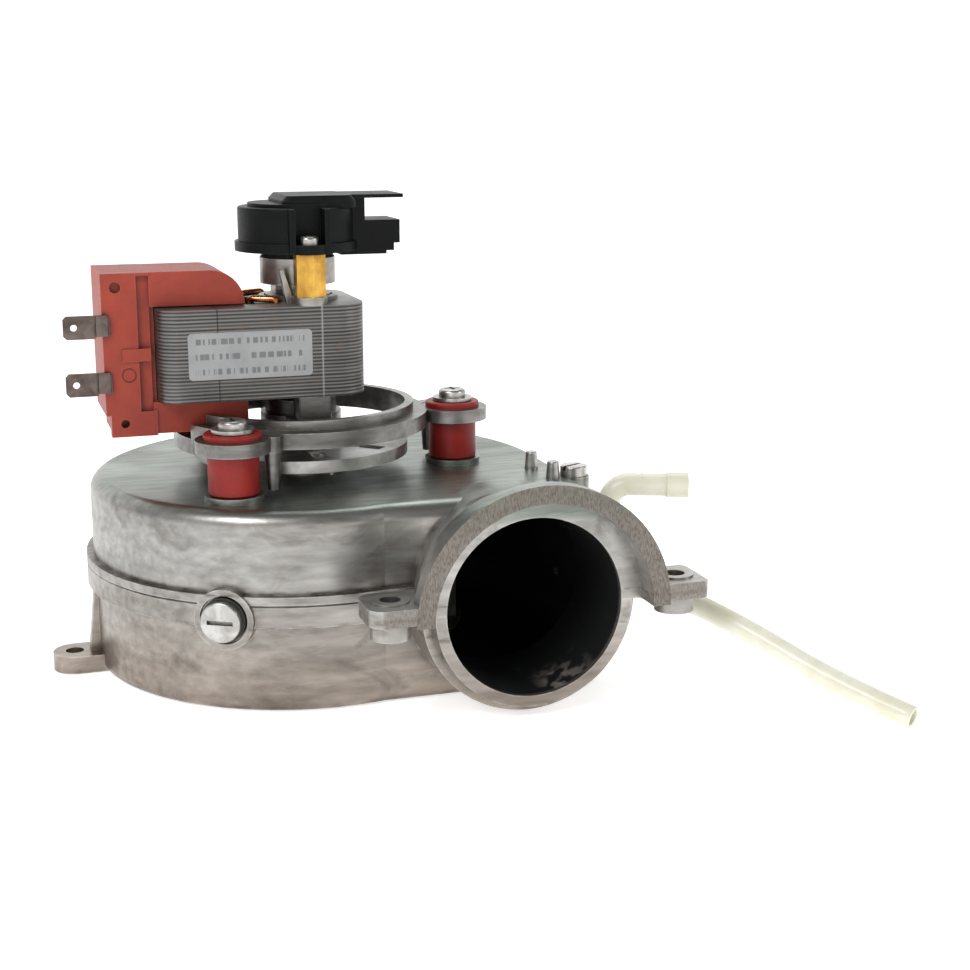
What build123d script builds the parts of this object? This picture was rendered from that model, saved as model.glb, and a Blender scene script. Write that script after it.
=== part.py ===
from build123d import *
from math import cos, sin, tan, radians
import os

os.makedirs("parts", exist_ok=True)

# ---------------------------------------------------------------- driving dimensions (mm)
# casing: two die-cast halves that part at z_part; the scroll is three tangent quarter arcs
z_part = 30.0
casing_h = 54.4
wall = 3.0
floor_t = 3.0
roof_t = 3.0
arc_front_c = (-1.6, 1.5)
arc_front_r = 58.6
arc_back_c = (3.9, 1.5)
arc_back_r = 64.1
arc_right_c = (3.9, -1.7)
arc_right_r = 67.3
front_y = -56.0
inner_front_y = -46.0
bead_out = 2.0
bead_h = 4.6
bead_low_h = 6.2
inlet_r = 29.0
shaft_hole_r = 7.0

# outlet: pipe along -Y
outlet_x = 44.0
outlet_z = 30.0
bore_r = 24.0
pipe_r = 27.0
step_y = -78.4
collar_y = -87.0
collar_r = 34.4
collar_inner_r = 29.6
ear_half = 39.0
ear_y = -78.6
ear_hole_r = 2.75
duct_y = -46.0

# slotted screw, studs and elbow on the upper half
column_point = (70.4, -36.4)
stud_points = ((62.1, -24.0), (63.4, -38.4))
elbow_point = (79.1, -42.0)

# feet
foot_left_x = -67.3
foot_right_x = 78.5
foot_hole_r = 2.6
foot_t = 5.0

# suspension
bush_r = 44.0
bush_angles = (-126.2, -9.5, 112.2)
bush_z = 56.0
eye_z = 67.3
eye_t = 3.6
sleeve_top = 72.8

# motor
stack_z = 78.0
stack_h = 25.2
stack_left = -42.0
stack_seam = -26.4
stack_right = 15.7
stack_half = 20.0
rotor_r = 10.0
rotor_gap = 0.35
shaft_r = 2.5
bolt_y = 16.0
tower_z = stack_z + stack_h
cap_z = 117.0


def scroll_face(grow):
    """Closed scroll outline, grown outward by grow."""
    with BuildSketch() as s:
        with BuildLine():
            r1 = arc_front_r + grow
            fy = front_y - grow
            x1 = arc_front_c[0] + (r1**2 - (fy - arc_front_c[1]) ** 2) ** 0.5
            p1 = (x1, fy)
            p2 = (arc_front_c[0] - r1, arc_front_c[1])
            m1 = (arc_front_c[0] - r1 * cos(radians(45)), arc_front_c[1] - r1 * sin(radians(45)))
            ThreePointArc(p1, m1, p2)
            r2 = arc_back_r + grow
            p3 = (arc_back_c[0], arc_back_c[1] + r2)
            m2 = (arc_back_c[0] - r2 * cos(radians(45)), arc_back_c[1] + r2 * sin(radians(45)))
            ThreePointArc(p2, m2, p3)
            r3 = arc_right_r + grow
            p4 = (arc_right_c[0] + r3, arc_right_c[1])
            m3 = (arc_right_c[0] + r3 * cos(radians(45)), arc_right_c[1] + r3 * sin(radians(45)))
            ThreePointArc(p3, m3, p4)
            p5 = (arc_right_c[0] + r3, fy)
            Line(p4, p5)
            Line(p5, p1)
        make_face()
    return s.sketch


def scroll_cavity():
    """Inner scroll outline, closed just inside the outlet pipe's root."""
    with BuildSketch() as s:
        with BuildLine():
            r1 = arc_front_r - wall
            fy = inner_front_y
            x1 = arc_front_c[0] + (r1**2 - (fy - arc_front_c[1]) ** 2) ** 0.5
            p1 = (x1, fy)
            p2 = (arc_front_c[0] - r1, arc_front_c[1])
            m1 = (arc_front_c[0] - r1 * cos(radians(45)), arc_front_c[1] - r1 * sin(radians(45)))
            ThreePointArc(p1, m1, p2)
            r2 = arc_back_r - wall
            p3 = (arc_back_c[0], arc_back_c[1] + r2)
            m2 = (arc_back_c[0] - r2 * cos(radians(45)), arc_back_c[1] + r2 * sin(radians(45)))
            ThreePointArc(p2, m2, p3)
            r3 = arc_right_r - wall
            p4 = (arc_right_c[0] + r3, arc_right_c[1])
            m3 = (arc_right_c[0] + r3 * cos(radians(45)), arc_right_c[1] + r3 * sin(radians(45)))
            ThreePointArc(p3, m3, p4)
            p5 = (arc_right_c[0] + r3, fy)
            Line(p4, p5)
            Line(p5, p1)
        make_face()
    return s.sketch


def on_circle(radius, angle):
    """Point at radius and angle (degrees) about the shaft axis."""
    return (radius * cos(radians(angle)), radius * sin(radians(angle)))


bush_points = [on_circle(bush_r, a) for a in bush_angles]

# test plug seat: on the front left of the scroll wall
plug_angle = -120.5
plug_dir = (cos(radians(plug_angle)), sin(radians(plug_angle)), 0)
plug_z = 26.0
plug_seat_r = 61.2


def plug_plane(radius):
    """Plane square to the plug's axis at a distance from the front arc's centre."""
    x = arc_front_c[0] + radius * plug_dir[0]
    y = arc_front_c[1] + radius * plug_dir[1]
    return Plane(origin=(x, y, plug_z), x_dir=(0, 0, 1), z_dir=plug_dir)


# hose nipple: on the right wall, below the right ear, pointing forward and outward
hose_dir = (0.597, -0.802, 0)
hose_root = (69.5, -30.5)
hose_z = 24.0


def hose_plane(distance):
    """Plane square to the nipple's axis at a distance from its root."""
    x = hose_root[0] + distance * hose_dir[0]
    y = hose_root[1] + distance * hose_dir[1]
    return Plane(origin=(x, y, hose_z), x_dir=(0, 0, 1), z_dir=hose_dir)


lug_point_back = (
    arc_back_c[0] + (arc_back_r + 4.3) * cos(radians(120)),
    arc_back_c[1] + (arc_back_r + 4.3) * sin(radians(120)),
)
lug_point_right = (
    arc_right_c[0] + (arc_right_r + 4.3) * cos(radians(50)),
    arc_right_c[1] + (arc_right_r + 4.3) * sin(radians(50)),
)
lug_points = [lug_point_back, lug_point_right]

# ---------------------------------------------------------------- lower casing half
with BuildPart() as lower_casing:
    with BuildSketch(Plane.XY):
        add(scroll_face(0))
    extrude(amount=z_part)
    fillet(lower_casing.edges().group_by(Axis.Z)[0], radius=2.4)
    # half of the bead round the joint
    with BuildSketch(Plane.XY.offset(z_part - bead_low_h)):
        add(scroll_face(bead_out))
    extrude(amount=bead_low_h)
    chamfer(lower_casing.edges().group_by(Axis.Z)[-1], length=0.5)
    # lower half of the outlet pipe: a thin front ring, then a heavier shoulder
    with BuildSketch(Plane.XZ.offset(50)):
        with Locations((outlet_x, outlet_z)):
            Circle(pipe_r)
    extrude(amount=-step_y - 50)
    with BuildSketch(Plane.XZ.offset(50)):
        with Locations((outlet_x, outlet_z)):
            Circle(29.4)
    extrude(amount=24)
    # feet, each with a gusset rib that runs up to the bead
    with BuildSketch(Plane.XY):
        with Locations((foot_left_x + 5, 0)):
            SlotOverall(22, 13)
        with Locations((foot_right_x - 5, 0)):
            SlotOverall(22, 13)
    extrude(amount=foot_t)
    with BuildSketch(Plane.XZ):
        with BuildLine():
            Polyline((-57, 2), (-63.4, 2), (-60.6, 27), (-57, 27), (-57, 2))
        make_face()
        with BuildLine():
            Polyline((68, 2), (74.6, 2), (71.8, 27), (68, 27), (68, 2))
        make_face()
    extrude(amount=1.8, both=True)
    # plug boss, nipple boss and the two joint lugs
    with BuildSketch(plug_plane(54)):
        Circle(8.25)
    extrude(amount=plug_seat_r - 54)
    with BuildSketch(hose_plane(0)):
        Circle(5.4)
    extrude(amount=12)
    with BuildSketch(Plane.XY.offset(18)):
        with Locations(*lug_points):
            Circle(4.8)
    extrude(amount=z_part - 18)
    # cavity, bore and inlet
    with BuildSketch(Plane.XY.offset(floor_t)):
        add(scroll_cavity())
    extrude(amount=casing_h, mode=Mode.SUBTRACT)
    with BuildSketch(Plane.XZ.offset(-duct_y)):
        with Locations((outlet_x, outlet_z)):
            Circle(bore_r)
    extrude(amount=60, mode=Mode.SUBTRACT)
    with BuildSketch(Plane.XY):
        Circle(inlet_r)
    extrude(amount=floor_t, mode=Mode.SUBTRACT)
    # holes: feet, plug seat, nipple and joint screws
    with BuildSketch(Plane.XY):
        with Locations((foot_left_x, 0), (foot_right_x, 0)):
            Circle(foot_hole_r)
    extrude(amount=foot_t, mode=Mode.SUBTRACT)
    with BuildSketch(plug_plane(50)):
        Circle(3.4)
    extrude(amount=20, mode=Mode.SUBTRACT)
    with BuildSketch(plug_plane(plug_seat_r - 1.4)):
        Circle(6.6)
    extrude(amount=6, mode=Mode.SUBTRACT)
    with BuildSketch(hose_plane(-4)):
        Circle(1.4)
    extrude(amount=12, mode=Mode.SUBTRACT)
    with BuildSketch(hose_plane(5)):
        Circle(2.2)
    extrude(amount=10, mode=Mode.SUBTRACT)
    with BuildSketch(Plane.XY.offset(20)):
        with Locations(*lug_points):
            Circle(2.05)
    extrude(amount=z_part, mode=Mode.SUBTRACT)
    # everything above the joint belongs to the other half
    with BuildSketch(Plane.XY.offset(z_part)):
        Rectangle(400, 400)
    extrude(amount=60, mode=Mode.SUBTRACT)
lower_casing.part.label = "lower_casing"
export_step(lower_casing.part, "parts/lower_casing.step")

# ---------------------------------------------------------------- upper casing half
with BuildPart() as upper_casing:
    with BuildSketch(Plane.XY.offset(z_part)):
        add(scroll_face(0))
    extrude(amount=casing_h - z_part)
    fillet(upper_casing.edges().group_by(Axis.Z)[-1], radius=4.2)
    with BuildSketch(Plane.XY.offset(z_part)):
        add(scroll_face(bead_out))
    extrude(amount=bead_h / 2)
    # upper half of the outlet: neck that widens to the half collar
    with BuildSketch(Plane.XY.offset(outlet_z)):
        with BuildLine():
            Polyline(
                (outlet_x, -46),
                (outlet_x + pipe_r, -46),
                (outlet_x + pipe_r, -58),
                (outlet_x + 31.6, -73),
                (outlet_x + 31.6, -82.4),
                (outlet_x + collar_r, -82.4),
                (outlet_x + collar_r, collar_y),
                (outlet_x, collar_y),
                (outlet_x, -46),
            )
        make_face()
    revolve(axis=Axis((outlet_x, 0, outlet_z), (0, 1, 0)), revolution_arc=360)
    with BuildSketch(plug_plane(54)):
        Circle(8.25)
    extrude(amount=plug_seat_r - 54)
    # everything below the joint belongs to the other half
    with BuildSketch(Plane.XY.offset(-20)):
        Rectangle(400, 400)
    extrude(amount=z_part + 20, mode=Mode.SUBTRACT)
    # ears beside the collar
    with BuildSketch(Plane.XY.offset(31)):
        with Locations((outlet_x - ear_half + 5.5, ear_y)):
            RectangleRounded(25, 16.6, 4)
        with Locations((outlet_x + ear_half - 4, ear_y)):
            RectangleRounded(21, 16.6, 1.8)
    extrude(amount=4.5)
    with BuildSketch(Plane.XY.offset(26)):
        with Locations((outlet_x - ear_half, ear_y), (outlet_x + ear_half, ear_y)):
            Circle(5.2)
    extrude(amount=5)
    # spot faces round the ear holes
    with BuildSketch(Plane.XY.offset(35.5)):
        with Locations((outlet_x - ear_half, ear_y), (outlet_x + ear_half, ear_y)):
            Circle(5.0)
    extrude(amount=0.5)
    # bush bosses, shaft boss, plug boss, screw column and joint lugs
    with BuildSketch(Plane.XY.offset(casing_h - 1)):
        with Locations(*bush_points):
            Circle(8.0)
    extrude(amount=bush_z - casing_h + 1)
    with BuildSketch(Plane.XY.offset(casing_h - 1)):
        Circle(14.0)
    extrude(amount=1.8)
    with BuildSketch(Plane.XY.offset(z_part)):
        with Locations(*lug_points):
            Circle(4.8)
    extrude(amount=7)
    # small shelf on the right wall that carries the elbow's nipple
    with BuildSketch(Plane.XY.offset(33)):
        with Locations((elbow_point[0] - 5.4, elbow_point[1])):
            SlotOverall(20, 10)
    extrude(amount=4.5)
    # cavity and bore
    with BuildSketch(Plane.XY):
        add(scroll_cavity())
    extrude(amount=casing_h - roof_t, mode=Mode.SUBTRACT)
    with BuildSketch(Plane.XZ.offset(-duct_y)):
        with Locations((outlet_x, outlet_z)):
            Circle(bore_r)
    extrude(amount=60, mode=Mode.SUBTRACT)
    with BuildSketch(Plane.XZ.offset(-step_y)):
        with Locations((outlet_x, outlet_z)):
            Circle(collar_inner_r)
    extrude(amount=20, mode=Mode.SUBTRACT)
    # bosses under the roof for the bush screws
    with BuildSketch(Plane.XY.offset(46.5)):
        with Locations(*bush_points):
            Circle(4.6)
    extrude(amount=casing_h - 46.5 - 1)
    # column of the slotted screw, half inside the right wall
    with BuildSketch(Plane.XY.offset(40)):
        with Locations(column_point):
            Circle(4.4)
    extrude(amount=casing_h - 40)
    # holes
    with BuildSketch(Plane.XY.offset(46)):
        with Locations(*bush_points):
            Circle(2.05)
    extrude(amount=20, mode=Mode.SUBTRACT)
    with BuildSketch(Plane.XY.offset(46)):
        Circle(shaft_hole_r)
    extrude(amount=20, mode=Mode.SUBTRACT)
    with BuildSketch(Plane.XY.offset(20)):
        with Locations((outlet_x - ear_half, ear_y), (outlet_x + ear_half, ear_y)):
            Circle(ear_hole_r)
    extrude(amount=20, mode=Mode.SUBTRACT)
    with BuildSketch(plug_plane(plug_seat_r - 1.4)):
        Circle(6.6)
    extrude(amount=6, mode=Mode.SUBTRACT)
    with BuildSketch(Plane.XY.offset(42)):
        with Locations(column_point):
            Circle(1.85)
    extrude(amount=20, mode=Mode.SUBTRACT)
    with BuildSketch(Plane.XY.offset(20)):
        with Locations(*lug_points):
            Circle(2.1)
    extrude(amount=25, mode=Mode.SUBTRACT)
    with BuildSketch(Plane.XY.offset(30)):
        with Locations(elbow_point):
            Circle(2.2)
    extrude(amount=12, mode=Mode.SUBTRACT)
    with BuildSketch(Plane.XY.offset(52)):
        with Locations(*stud_points):
            Circle(1.5)
    extrude(amount=12, mode=Mode.SUBTRACT)
upper_casing.part.label = "upper_casing"
export_step(upper_casing.part, "parts/upper_casing.step")

# ---------------------------------------------------------------- casing fasteners
with BuildPart() as casing_screws:
    with BuildSketch(Plane.XY.offset(21)):
        with Locations(*lug_points):
            Circle(2.0)
    extrude(amount=16)
    with BuildSketch(Plane.XY.offset(37)):
        with Locations(*lug_points):
            Circle(3.8)
    extrude(amount=2.6)
    fillet(casing_screws.edges().group_by(Axis.Z)[-1], radius=1.0)
    with BuildSketch(Plane.XY.offset(38.4)):
        with Locations(*lug_points):
            Rectangle(4.4, 0.9)
            Rectangle(0.9, 4.4)
    extrude(amount=2, mode=Mode.SUBTRACT)
casing_screws.part.label = "casing_screws"
export_step(casing_screws.part, "parts/casing_screws.step")

with BuildPart() as slotted_screw:
    with BuildSketch(Plane.XY.offset(44)):
        with Locations(column_point):
            Circle(1.8)
    extrude(amount=casing_h - 44)
    with BuildSketch(Plane.XY.offset(casing_h)):
        with Locations(column_point):
            Circle(3.8)
    extrude(amount=3.0)
    fillet(slotted_screw.edges().group_by(Axis.Z)[-1], radius=0.5)
    with BuildSketch(Plane.XY.offset(casing_h + 1.7)):
        with Locations(column_point):
            Rectangle(9, 1.1, rotation=25)
    extrude(amount=2, mode=Mode.SUBTRACT)
slotted_screw.part.label = "slotted_screw"
export_step(slotted_screw.part, "parts/slotted_screw.step")

with BuildPart() as locating_pins:
    with BuildSketch(Plane.XY.offset(52.2)):
        with Locations(*stud_points):
            Circle(1.45)
    extrude(amount=casing_h - 52.2)
    with BuildSketch(Plane.XY.offset(casing_h)):
        with Locations(*stud_points):
            Circle(1.95)
    extrude(amount=5.0, taper=4)
    fillet(locating_pins.edges().group_by(Axis.Z)[-1], radius=0.5)
locating_pins.part.label = "locating_pins"
export_step(locating_pins.part, "parts/locating_pins.step")

with BuildPart() as plug_washer:
    with BuildSketch(plug_plane(plug_seat_r - 1.4)):
        Circle(6.0)
        Circle(4.05, mode=Mode.SUBTRACT)
    extrude(amount=1.4)
plug_washer.part.label = "plug_washer"
export_step(plug_washer.part, "parts/plug_washer.step")

with BuildPart() as test_plug:
    with BuildSketch(plug_plane(plug_seat_r)):
        Circle(5.5)
    extrude(amount=2.8)
    plug_rims = test_plug.edges().filter_by(GeomType.CIRCLE)
    fillet(plug_rims.sort_by_distance(plug_plane(plug_seat_r + 4).origin)[0], radius=0.5)
    with BuildSketch(plug_plane(55.2)):
        Circle(3.3)
    extrude(amount=plug_seat_r - 55.2 + 0.5)
    with BuildSketch(plug_plane(plug_seat_r + 1.6)):
        Rectangle(1.2, 7.2)
    extrude(amount=3, mode=Mode.SUBTRACT)
test_plug.part.label = "test_plug"
export_step(test_plug.part, "parts/test_plug.step")

# ---------------------------------------------------------------- pressure tapping
with BuildPart() as hose_nipple:
    with BuildSketch(hose_plane(5.2)):
        Circle(2.15)
    extrude(amount=17.2)
    with BuildSketch(hose_plane(12.05)):
        Circle(3.2)
    extrude(amount=1.2)
    with BuildSketch(hose_plane(4)):
        Circle(1.3)
    extrude(amount=20, mode=Mode.SUBTRACT)
hose_nipple.part.label = "hose_nipple"
export_step(hose_nipple.part, "parts/hose_nipple.step")

# free hose: straight runs joined by tangent arcs, from the nipple's tip to the ground
hose_d = 6.0
hose_start = (
    hose_root[0] + 22.4 * hose_dir[0],
    hose_root[1] + 22.4 * hose_dir[1],
    hose_z,
)
hose_second = (
    hose_root[0] + 38.4 * hose_dir[0],
    hose_root[1] + 38.4 * hose_dir[1],
    hose_z,
)
hose_route = [hose_start, hose_second, (106.0, -78.9, 17.4), (120.6, -98.6, 8.0), (133.6, -117.2, 3.15)]


def route_radii(points):
    """Arc radius at each inner point: 0.45 of the shorter run over the tangent of half the turn."""
    radii = []
    for i in range(1, len(points) - 1):
        a = Vector(*points[i]) - Vector(*points[i - 1])
        b = Vector(*points[i + 1]) - Vector(*points[i])
        turn = a.get_angle(b)
        radii.append(0.45 * min(a.length, b.length) / tan(radians(turn / 2)))
    return radii


hose_radii = route_radii(hose_route)
print("hose radii", [round(r, 1) for r in hose_radii])
with BuildPart() as pressure_hose:
    with BuildLine() as hose_line:
        FilletPolyline(*hose_route, radius=hose_radii)
    with BuildSketch(Plane(origin=hose_line.line @ 0, z_dir=hose_line.line % 0)):
        Circle(hose_d / 2)
    sweep(path=hose_line.line)
pressure_hose.part.label = "pressure_hose"
export_step(pressure_hose.part, "parts/pressure_hose.step")
hose_len = hose_line.wire().length
print("hose length", round(hose_len, 2), "volume ratio")
print(round(pressure_hose.part.volume / (3.14159265 * hose_d**2 / 4 * hose_len), 4))

with BuildPart() as elbow_nipple:
    with BuildSketch(Plane.XY.offset(33)):
        with Locations(elbow_point):
            Circle(2.15)
            Circle(1.3, mode=Mode.SUBTRACT)
    extrude(amount=11)
    with BuildSketch(Plane.XY.offset(37.5)):
        with Locations(elbow_point):
            Circle(3.2)
            Circle(2.1, mode=Mode.SUBTRACT)
    extrude(amount=1.0)
elbow_nipple.part.label = "elbow_nipple"
export_step(elbow_nipple.part, "parts/elbow_nipple.step")

# moulded elbow: stout leg over the nipple, slimmer free arm with a flared end
elbow_route = ((79.1, -42.0, 38.5), (79.1, -42.0, 52.4), (100.1, -48.9, 52.0))
with BuildPart() as pressure_elbow:
    with BuildLine() as elbow_line:
        FilletPolyline(*elbow_route, radius=5.6)
    with BuildSketch(Plane(origin=elbow_line.line @ 0, z_dir=elbow_line.line % 0)):
        Circle(3.2)
    sweep(path=elbow_line.line)
    with BuildSketch(Plane.XY.offset(38.5)):
        with Locations(elbow_point):
            Circle(3.7)
    extrude(amount=7.6)
    with BuildSketch(Plane(origin=elbow_line.line @ 0.82, z_dir=elbow_line.line % 1)):
        Circle(3.55)
    extrude(amount=0.18 * elbow_line.wire().length)
    with BuildSketch(Plane(origin=elbow_line.line @ 0, z_dir=elbow_line.line % 0)):
        Circle(2.2)
    sweep(path=elbow_line.line, mode=Mode.SUBTRACT)
pressure_elbow.part.label = "pressure_elbow"
export_step(pressure_elbow.part, "parts/pressure_elbow.step")

# ---------------------------------------------------------------- suspension
bush_names = ("bush_front", "bush_right", "bush_rear")
for bush_name, bush_point in zip(bush_names, bush_points):
    with BuildPart() as bush:
        with BuildSketch(Plane.XY.offset(bush_z)):
            with Locations(bush_point):
                Circle(6.9)
        extrude(amount=eye_z - bush_z)
        fillet(bush.edges().group_by(Axis.Z)[0], radius=0.6)
        with BuildSketch(Plane.XY.offset(eye_z)):
            with Locations(bush_point):
                Circle(5.0)
        extrude(amount=eye_t)
        with BuildSketch(Plane.XY.offset(eye_z + eye_t)):
            with Locations(bush_point):
                Circle(7.8)
        extrude(amount=1.7)
        fillet(bush.edges().group_by(Axis.Z)[-1], radius=0.6)
        with BuildSketch(Plane.XY.offset(bush_z)):
            with Locations(bush_point):
                Circle(3.05)
        extrude(amount=20, mode=Mode.SUBTRACT)
    bush.part.label = bush_name
    export_step(bush.part, "parts/" + bush_name + ".step")

with BuildPart() as bush_sleeves:
    with BuildSketch(Plane.XY.offset(bush_z)):
        with Locations(*bush_points):
            Circle(3.0)
            Circle(2.1, mode=Mode.SUBTRACT)
    extrude(amount=sleeve_top - bush_z)
bush_sleeves.part.label = "bush_sleeves"
export_step(bush_sleeves.part, "parts/bush_sleeves.step")

with BuildPart() as bush_screws:
    with BuildSketch(Plane.XY.offset(48)):
        with Locations(*bush_points):
            Circle(2.0)
    extrude(amount=sleeve_top - 48)
    with BuildSketch(Plane.XY.offset(sleeve_top)):
        with Locations(*bush_points):
            Circle(5.7)
    extrude(amount=0.9)
    with BuildSketch(Plane.XY.offset(sleeve_top + 0.9)):
        with Locations(*bush_points):
            Circle(3.9)
    extrude(amount=2.3)
    fillet(bush_screws.edges().group_by(Axis.Z)[-1], radius=1.0)
    with BuildSketch(Plane.XY.offset(sleeve_top + 1.7)):
        with Locations(*bush_points):
            Rectangle(4.6, 1.0)
            Rectangle(1.0, 4.6)
    extrude(amount=2, mode=Mode.SUBTRACT)
bush_screws.part.label = "bush_screws"
export_step(bush_screws.part, "parts/bush_screws.step")

# cast motor bracket: ring with a raised inner lip, three eyes, a cross bar with the lower bearing seat
bracket_z = 66.6
bracket_top = 71.0
lip_top = 73.6
ring_r = 36.4
ring_in = 30.0
stop_points = [on_circle(38.4, -113.6), on_circle(38.6, 2.5), on_circle(38.0, 125.0)]
with BuildPart() as motor_bracket:
    with BuildSketch(Plane.XY.offset(bracket_z)):
        Circle(ring_r)
        Circle(ring_in, mode=Mode.SUBTRACT)
        Rectangle(13, 2 * ring_in + 2)
        Circle(11.5)
    extrude(amount=bracket_top - bracket_z)
    with BuildSketch(Plane.XY.offset(bracket_top)):
        Circle(ring_in + 2.4)
        Circle(ring_in, mode=Mode.SUBTRACT)
    extrude(amount=lip_top - bracket_top)
    # eyes: thinner than the ring
    with BuildSketch(Plane.XY.offset(eye_z)):
        with Locations(*bush_points):
            Circle(10.0)
    extrude(amount=eye_t)
    with BuildSketch(Plane.XY.offset(bracket_z)):
        with Locations(*stop_points):
            Circle(2.6)
    extrude(amount=bracket_top - bracket_z)
    # tapered stop pins that hang beside each eye
    with BuildSketch(Plane.XY.offset(bracket_z)):
        with Locations(*stop_points):
            Circle(2.3)
    extrude(amount=-10.2, taper=4)
    # posts up to the stator and the lower bearing seat
    with BuildSketch(Plane.XY.offset(bracket_top)):
        with Locations((0, bolt_y), (0, -bolt_y)):
            RectangleRounded(9.4, 7.6, 1)
    extrude(amount=stack_z - bracket_top)
    with BuildSketch(Plane.XY.offset(bracket_top)):
        Circle(10.2)
    extrude(amount=4.2)
    # the ring dips under the coil on the left
    with BuildSketch(Plane.XY.offset(62.7)):
        Circle(ring_r)
        Circle(ring_in + 1.3, mode=Mode.SUBTRACT)
        with Locations((-30, 0)):
            Rectangle(30, 34, mode=Mode.INTERSECT)
    extrude(amount=bracket_z - 62.7 + 0.5)
    with BuildSketch(Plane.XY.offset(67.0)):
        with Locations((-34, 0)):
            Rectangle(36, 27)
    extrude(amount=10, mode=Mode.SUBTRACT)
    # eye holes, bolt holes, bearing seat and shaft hole
    with BuildSketch(Plane.XY.offset(60)):
        with Locations(*bush_points):
            Circle(5.15)
        with Locations((0, bolt_y), (0, -bolt_y)):
            Circle(2.0)
        Circle(3.4)
    extrude(amount=30, mode=Mode.SUBTRACT)
    with BuildSketch(Plane.XY.offset(68)):
        Circle(7.5)
    extrude(amount=12, mode=Mode.SUBTRACT)
    # the bushes' lower bodies stand clear of the ring
    with BuildSketch(Plane.XY.offset(60)):
        with Locations(*bush_points):
            Circle(7.3)
    extrude(amount=eye_z - 60, mode=Mode.SUBTRACT)
    with BuildSketch(Plane.XY.offset(eye_z + eye_t)):
        with Locations(*bush_points):
            Circle(9.4)
    extrude(amount=10, mode=Mode.SUBTRACT)
motor_bracket.part.label = "motor_bracket"
export_step(motor_bracket.part, "parts/motor_bracket.step")


def bearing(z0, name):
    """Sintered bearing with a barrel outside, standing at z0."""
    with BuildPart() as b:
        with BuildSketch(Plane.XZ):
            with BuildLine():
                Polyline(
                    (2.54, z0),
                    (6.0, z0),
                    (7.3, z0 + 2.2),
                    (7.3, z0 + 3.6),
                    (6.0, z0 + 5.8),
                    (2.54, z0 + 5.8),
                    (2.54, z0),
                )
            make_face()
        revolve(axis=Axis.Z)
    b.part.label = name
    export_step(b.part, "parts/" + name + ".step")


bearing(68.0, "lower_bearing")
bearing(108.4, "upper_bearing")

# ---------------------------------------------------------------- stator
with BuildPart() as stator_stack:
    with BuildSketch(Plane.XY.offset(stack_z)):
        with BuildLine():
            Polyline(
                (stack_seam, -stack_half),
                (stack_right, -stack_half),
                (stack_right, stack_half),
                (stack_seam, stack_half),
                (stack_seam, -stack_half),
            )
        outer = make_face()
        fillet(outer.vertices().group_by(Axis.X)[-1], radius=8.5)
        with Locations(((stack_seam - 14.0) / 2, 0)):
            Rectangle(-stack_seam - 14.0, 21.0, mode=Mode.SUBTRACT)
        Circle(rotor_r + rotor_gap, mode=Mode.SUBTRACT)
        with Locations((-11, 0)):
            Rectangle(8, 3.4, mode=Mode.SUBTRACT)
        with Locations((0, bolt_y), (0, -bolt_y)):
            Circle(1.95, mode=Mode.SUBTRACT)
        with Locations((-8.4, 10.4), (-8.4, -10.4)):
            Circle(1.05, mode=Mode.SUBTRACT)
    extrude(amount=stack_h)
stator_stack.part.label = "stator_stack"
export_step(stator_stack.part, "parts/stator_stack.step")

with BuildPart() as coil_core:
    with BuildSketch(Plane.XY.offset(stack_z)):
        with Locations(((stack_left + stack_seam) / 2, 0)):
            Rectangle(stack_seam - stack_left, 2 * stack_half)
    extrude(amount=stack_h)
    fillet(coil_core.edges().filter_by(Axis.Z).group_by(Axis.X)[0], radius=5.5)
coil_core.part.label = "coil_core"
export_step(coil_core.part, "parts/coil_core.step")

core_mid = (stack_left + stack_seam) / 2
core_w = stack_seam - stack_left
stack_mid = stack_z + stack_h / 2
with BuildPart() as bobbin:
    with BuildSketch(Plane.XZ.offset(-8.6)):
        with Locations((core_mid, stack_mid)):
            Rectangle(core_w + 2.2, stack_h + 2.2)
    extrude(amount=17.2)
    with BuildSketch(Plane.XZ.offset(-8.6)):
        with Locations((core_mid, stack_mid)):
            RectangleRounded(core_w + 14.8, stack_h + 15.8, 3)
    extrude(amount=1)
    with BuildSketch(Plane.XZ.offset(7.6)):
        with Locations((core_mid, stack_mid)):
            RectangleRounded(core_w + 14.8, stack_h + 15.8, 3)
    extrude(amount=1)
    with BuildSketch(Plane.XZ.offset(-10)):
        with Locations((core_mid, stack_mid)):
            Rectangle(core_w, stack_h)
    extrude(amount=20, mode=Mode.SUBTRACT)
bobbin.part.label = "bobbin"
export_step(bobbin.part, "parts/bobbin.step")

with BuildPart() as coil_winding:
    with BuildSketch(Plane.XZ.offset(-7.6)):
        with Locations((core_mid, stack_mid)):
            RectangleRounded(core_w + 13.6, stack_h + 14.6, 3)
            Rectangle(core_w + 2.2, stack_h + 2.2, mode=Mode.SUBTRACT)
    extrude(amount=15.2)
coil_winding.part.label = "coil_winding"
export_step(coil_winding.part, "parts/coil_winding.step")

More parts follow.
